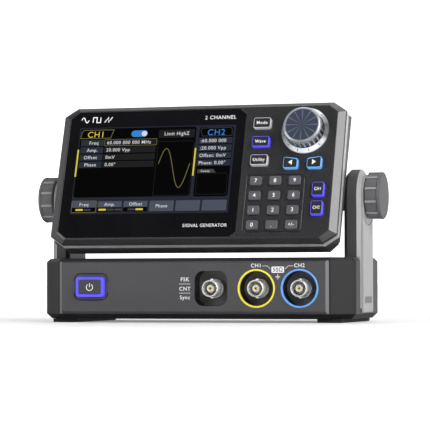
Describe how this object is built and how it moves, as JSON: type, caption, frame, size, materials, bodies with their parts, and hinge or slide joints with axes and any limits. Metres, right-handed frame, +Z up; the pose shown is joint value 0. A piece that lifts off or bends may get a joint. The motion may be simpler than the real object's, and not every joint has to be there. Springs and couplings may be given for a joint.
{
  "type": "function generator",
  "caption": "Bench function generator: low base with coaxial outputs and a power button, two arms, and a tilting display head with keypad, rotary encoder and clamp knobs.",
  "frame": {"origin": "under the middle of the whole object, on the surface that it stands on", "axes": "+X to the right seen from the front, -Y out of the front panel, +Z up"},
  "size_m": [0.2064, 0.0841, 0.1251],
  "materials": {
    "casing": "fine moulded texture",
    "panel": "satin grey coating",
    "cover_plate": "bead-blasted grey",
    "frame": "satin",
    "lens": "polished black",
    "display": "panel module",
    "circuit_board": "solder mask",
    "heat_sink": "extruded",
    "nickel": "nickel plated",
    "contact_gold": "gold plated",
    "white_plastic": "natural",
    "yellow_ring": "translucent",
    "blue_ring": "translucent",
    "rubber": "matt",
    "steel": "black zinc",
    "washer": "acetal",
    "clamp_grip": "satin",
    "connector_black": "moulded",
    "connector_steel": "pressed",
    "blue_light": "translucent, lit",
    "button_cap": "satin",
    "knob_metal": "turned",
    "function_keys": "silicone",
    "lit_keys": "silicone, lit",
    "arrow_keys": "silicone, lit",
    "number_keys": "silicone"
  },
  "bodies": {
    "base": {"base_top_shell": "casing", "base_bottom_shell": "casing", "front_panel": "panel", "rear_panel": "panel", "rubber_feet": "rubber", "main_board": "circuit_board", "heat_sink": "heat_sink", "bnc_shells": "nickel", "bnc_insulators": "white_plastic", "bnc_contacts": "contact_gold", "bnc_nuts": "nickel", "channel_ring_1": "yellow_ring", "channel_ring_2": "blue_ring", "power_switch": "connector_black", "dc_inlet": "connector_black", "usb_port": "connector_steel", "arm_left": "casing", "arm_right": "casing", "arm_covers": "cover_plate", "base_screws": "steel", "thrust_washers": "washer"},
    "head": {"front_frame": "frame", "rear_shell": "casing", "display_lens": "lens", "lcd_module": "display", "keypad_board": "circuit_board", "key_mat": "rubber", "encoder_body": "connector_black", "encoder_dial_ring": "knob_metal", "pivot_inserts": "steel", "friction_washers": "washer", "head_screws": "steel"},
    "power_button": {"power_button": "button_cap", "power_button_light": "blue_light"},
    "encoder_stem": {"encoder_plunger": "connector_black"},
    "encoder_knob": {"encoder_shaft": "steel", "encoder_knob": "knob_metal"},
    "clamp_left": {"clamp_knob_left": "clamp_grip", "clamp_screw_left": "steel"},
    "clamp_right": {"clamp_knob_right": "clamp_grip", "clamp_screw_right": "steel"},
    "key_mode": {"key_mode": "function_keys"},
    "key_wave": {"key_wave": "lit_keys"},
    "key_utility": {"key_utility": "function_keys"},
    "key_ch1": {"key_ch1": "lit_keys"},
    "key_ch2": {"key_ch2": "lit_keys"},
    "key_left": {"key_left": "arrow_keys"},
    "key_right": {"key_right": "arrow_keys"},
    "key_7": {"key_7": "number_keys"},
    "key_8": {"key_8": "number_keys"},
    "key_9": {"key_9": "number_keys"},
    "key_4": {"key_4": "number_keys"},
    "key_5": {"key_5": "number_keys"},
    "key_6": {"key_6": "number_keys"},
    "key_1": {"key_1": "number_keys"},
    "key_2": {"key_2": "number_keys"},
    "key_3": {"key_3": "number_keys"},
    "key_0": {"key_0": "number_keys"},
    "key_point": {"key_point": "number_keys"},
    "key_sign": {"key_sign": "number_keys"}
  },
  "joints": [
    {"name": "head_tilt", "type": "hinge", "parent": "base", "child": "head", "pos_m": [0, 0.00038, 0.0721], "axis": [-1, 0, 0], "range_deg": [0, 70]},
    {"name": "power_press", "type": "slide", "parent": "base", "child": "power_button", "axis": [0, 1, 0], "range_m": [0, 0.001], "stiffness_N_per_m": 600, "springref_m": -0.0005},
    {"name": "encoder_push", "type": "slide", "parent": "head", "child": "encoder_stem", "axis": [0, 0.9455, -0.3256], "range_m": [0, 0.0005], "stiffness_N_per_m": 2000, "springref_m": -0.0005},
    {"name": "encoder_turn", "type": "hinge", "parent": "encoder_stem", "child": "encoder_knob", "pos_m": [0.0627, -0.01885, 0.1078], "axis": [0, -0.9455, 0.3256], "continuous": true},
    {"name": "clamp_turn_left", "type": "hinge", "parent": "head", "child": "clamp_left", "pos_m": [-0.1032, 0.00038, 0.0721], "axis": [-1, 0, 0], "range_deg": [0, 360]},
    {"name": "clamp_turn_right", "type": "hinge", "parent": "head", "child": "clamp_right", "pos_m": [0.1032, 0.00038, 0.0721], "axis": [1, 0, 0], "range_deg": [0, 360]},
    {"name": "key_mode_press", "type": "slide", "parent": "head", "child": "key_mode", "axis": [0, 0.9455, -0.3256], "range_m": [0, 0.0008], "stiffness_N_per_m": 500, "springref_m": -0.0004},
    {"name": "key_wave_press", "type": "slide", "parent": "head", "child": "key_wave", "axis": [0, 0.9455, -0.3256], "range_m": [0, 0.0008], "stiffness_N_per_m": 500, "springref_m": -0.0004},
    {"name": "key_utility_press", "type": "slide", "parent": "head", "child": "key_utility", "axis": [0, 0.9455, -0.3256], "range_m": [0, 0.0008], "stiffness_N_per_m": 500, "springref_m": -0.0004},
    {"name": "key_ch1_press", "type": "slide", "parent": "head", "child": "key_ch1", "axis": [0, 0.9455, -0.3256], "range_m": [0, 0.0008], "stiffness_N_per_m": 500, "springref_m": -0.0004},
    {"name": "key_ch2_press", "type": "slide", "parent": "head", "child": "key_ch2", "axis": [0, 0.9455, -0.3256], "range_m": [0, 0.0008], "stiffness_N_per_m": 500, "springref_m": -0.0004},
    {"name": "key_left_press", "type": "slide", "parent": "head", "child": "key_left", "axis": [0, 0.9455, -0.3256], "range_m": [0, 0.0008], "stiffness_N_per_m": 500, "springref_m": -0.0004},
    {"name": "key_right_press", "type": "slide", "parent": "head", "child": "key_right", "axis": [0, 0.9455, -0.3256], "range_m": [0, 0.0008], "stiffness_N_per_m": 500, "springref_m": -0.0004},
    {"name": "key_7_press", "type": "slide", "parent": "head", "child": "key_7", "axis": [0, 0.9455, -0.3256], "range_m": [0, 0.0008], "stiffness_N_per_m": 500, "springref_m": -0.0004},
    {"name": "key_8_press", "type": "slide", "parent": "head", "child": "key_8", "axis": [0, 0.9455, -0.3256], "range_m": [0, 0.0008], "stiffness_N_per_m": 500, "springref_m": -0.0004},
    {"name": "key_9_press", "type": "slide", "parent": "head", "child": "key_9", "axis": [0, 0.9455, -0.3256], "range_m": [0, 0.0008], "stiffness_N_per_m": 500, "springref_m": -0.0004},
    {"name": "key_4_press", "type": "slide", "parent": "head", "child": "key_4", "axis": [0, 0.9455, -0.3256], "range_m": [0, 0.0008], "stiffness_N_per_m": 500, "springref_m": -0.0004},
    {"name": "key_5_press", "type": "slide", "parent": "head", "child": "key_5", "axis": [0, 0.9455, -0.3256], "range_m": [0, 0.0008], "stiffness_N_per_m": 500, "springref_m": -0.0004},
    {"name": "key_6_press", "type": "slide", "parent": "head", "child": "key_6", "axis": [0, 0.9455, -0.3256], "range_m": [0, 0.0008], "stiffness_N_per_m": 500, "springref_m": -0.0004},
    {"name": "key_1_press", "type": "slide", "parent": "head", "child": "key_1", "axis": [0, 0.9455, -0.3256], "range_m": [0, 0.0008], "stiffness_N_per_m": 500, "springref_m": -0.0004},
    {"name": "key_2_press", "type": "slide", "parent": "head", "child": "key_2", "axis": [0, 0.9455, -0.3256], "range_m": [0, 0.0008], "stiffness_N_per_m": 500, "springref_m": -0.0004},
    {"name": "key_3_press", "type": "slide", "parent": "head", "child": "key_3", "axis": [0, 0.9455, -0.3256], "range_m": [0, 0.0008], "stiffness_N_per_m": 500, "springref_m": -0.0004},
    {"name": "key_0_press", "type": "slide", "parent": "head", "child": "key_0", "axis": [0, 0.9455, -0.3256], "range_m": [0, 0.0008], "stiffness_N_per_m": 500, "springref_m": -0.0004},
    {"name": "key_point_press", "type": "slide", "parent": "head", "child": "key_point", "axis": [0, 0.9455, -0.3256], "range_m": [0, 0.0008], "stiffness_N_per_m": 500, "springref_m": -0.0004},
    {"name": "key_sign_press", "type": "slide", "parent": "head", "child": "key_sign", "axis": [0, 0.9455, -0.3256], "range_m": [0, 0.0008], "stiffness_N_per_m": 500, "springref_m": -0.0004}
  ]
}
